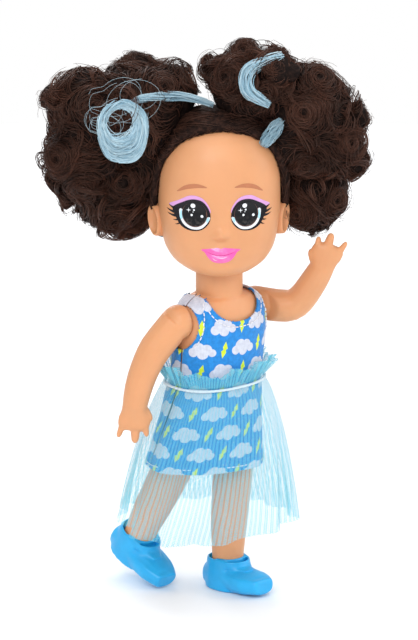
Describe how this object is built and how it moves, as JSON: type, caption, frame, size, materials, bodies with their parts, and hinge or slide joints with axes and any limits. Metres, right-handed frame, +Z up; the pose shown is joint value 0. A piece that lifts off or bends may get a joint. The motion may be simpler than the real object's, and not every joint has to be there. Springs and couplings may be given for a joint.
{
  "type": "play doll",
  "caption": "Small soft-vinyl play doll with a turning head, swinging arms and legs, curly hair in two puffs, a knit dress and a gathered net overskirt.",
  "frame": {"origin": "centre of the doll's box in plan, at the floor under its standing foot", "axes": "+Z up along the body, -Y the way the torso faces, +X the doll's left side"},
  "size_m": [0.0692, 0.0584, 0.1382],
  "materials": {
    "torso_front": "satin",
    "torso_back": "satin",
    "neck_knob": "satin",
    "head_shell": "satin",
    "hair_scalp": "matt hair",
    "hair_streak_strand": "matt hair",
    "hair_streak_arc": "matt hair",
    "hair_streak_root": "matt hair",
    "hair_streak_ring": "matt hair",
    "hair_puff_left": "matt hair",
    "hair_puff_right": "matt hair",
    "arm_left": "satin",
    "arm_right": "satin",
    "leg_left": "satin",
    "shoe_left": "smooth",
    "leg_right": "satin",
    "shoe_right": "smooth",
    "dress_front": "matt cloth",
    "dress_back_left": "matt cloth",
    "dress_back_right": "matt cloth",
    "closure_tape": "matt cloth",
    "neckline_stitch": "matt cloth",
    "armhole_stitch_left": "matt cloth",
    "armhole_stitch_right": "matt cloth",
    "hem_stitch": "matt cloth",
    "skirt_net": "matt cloth",
    "skirt_ruffle": "matt cloth",
    "waist_elastic": "matt cloth"
  },
  "bodies": {
    "torso": {"torso_front": "torso_front", "torso_back": "torso_back", "neck_knob": "neck_knob", "dress_front": "dress_front", "dress_back_left": "dress_back_left", "dress_back_right": "dress_back_right", "closure_tape": "closure_tape", "neckline_stitch": "neckline_stitch", "armhole_stitch_left": "armhole_stitch_left", "armhole_stitch_right": "armhole_stitch_right", "hem_stitch": "hem_stitch", "skirt_net": "skirt_net", "skirt_ruffle": "skirt_ruffle", "waist_elastic": "waist_elastic"},
    "head": {"head_shell": "head_shell", "hair_scalp": "hair_scalp", "hair_streak_strand": "hair_streak_strand", "hair_streak_arc": "hair_streak_arc", "hair_streak_root": "hair_streak_root", "hair_streak_ring": "hair_streak_ring", "hair_puff_left": "hair_puff_left", "hair_puff_right": "hair_puff_right"},
    "arm_left": {"arm_left": "arm_left"},
    "arm_right": {"arm_right": "arm_right"},
    "leg_left": {"leg_left": "leg_left", "shoe_left": "shoe_left"},
    "leg_right": {"leg_right": "leg_right", "shoe_right": "shoe_right"}
  },
  "joints": [
    {"name": "head_turn", "type": "hinge", "parent": "torso", "child": "head", "pos_m": [0.00048, -0.00513, 0.0826], "axis": [0, 0, 1], "range_deg": [-52, 128]},
    {"name": "arm_left_swing", "type": "hinge", "parent": "torso", "child": "arm_left", "pos_m": [0.01148, -0.00433, 0.0711], "axis": [-1, 0, 0], "range_deg": [-130, 1]},
    {"name": "arm_right_swing", "type": "hinge", "parent": "torso", "child": "arm_right", "pos_m": [-0.01052, -0.00433, 0.0711], "axis": [-1, 0, 0], "range_deg": [-21, 110]},
    {"name": "leg_left_swing", "type": "hinge", "parent": "torso", "child": "leg_left", "pos_m": [0.00308, -0.00213, 0.045], "axis": [-1, 0, 0], "range_deg": [-30, 90], "deforming": ["dress_front", "dress_back_left", "dress_back_right", "hem_stitch", "skirt_net"]},
    {"name": "leg_right_swing", "type": "hinge", "parent": "torso", "child": "leg_right", "pos_m": [-0.00212, -0.00213, 0.045], "axis": [-1, 0, 0], "range_deg": [-2, 118], "deforming": ["dress_front", "dress_back_left", "dress_back_right", "hem_stitch", "skirt_net"]}
  ]
}
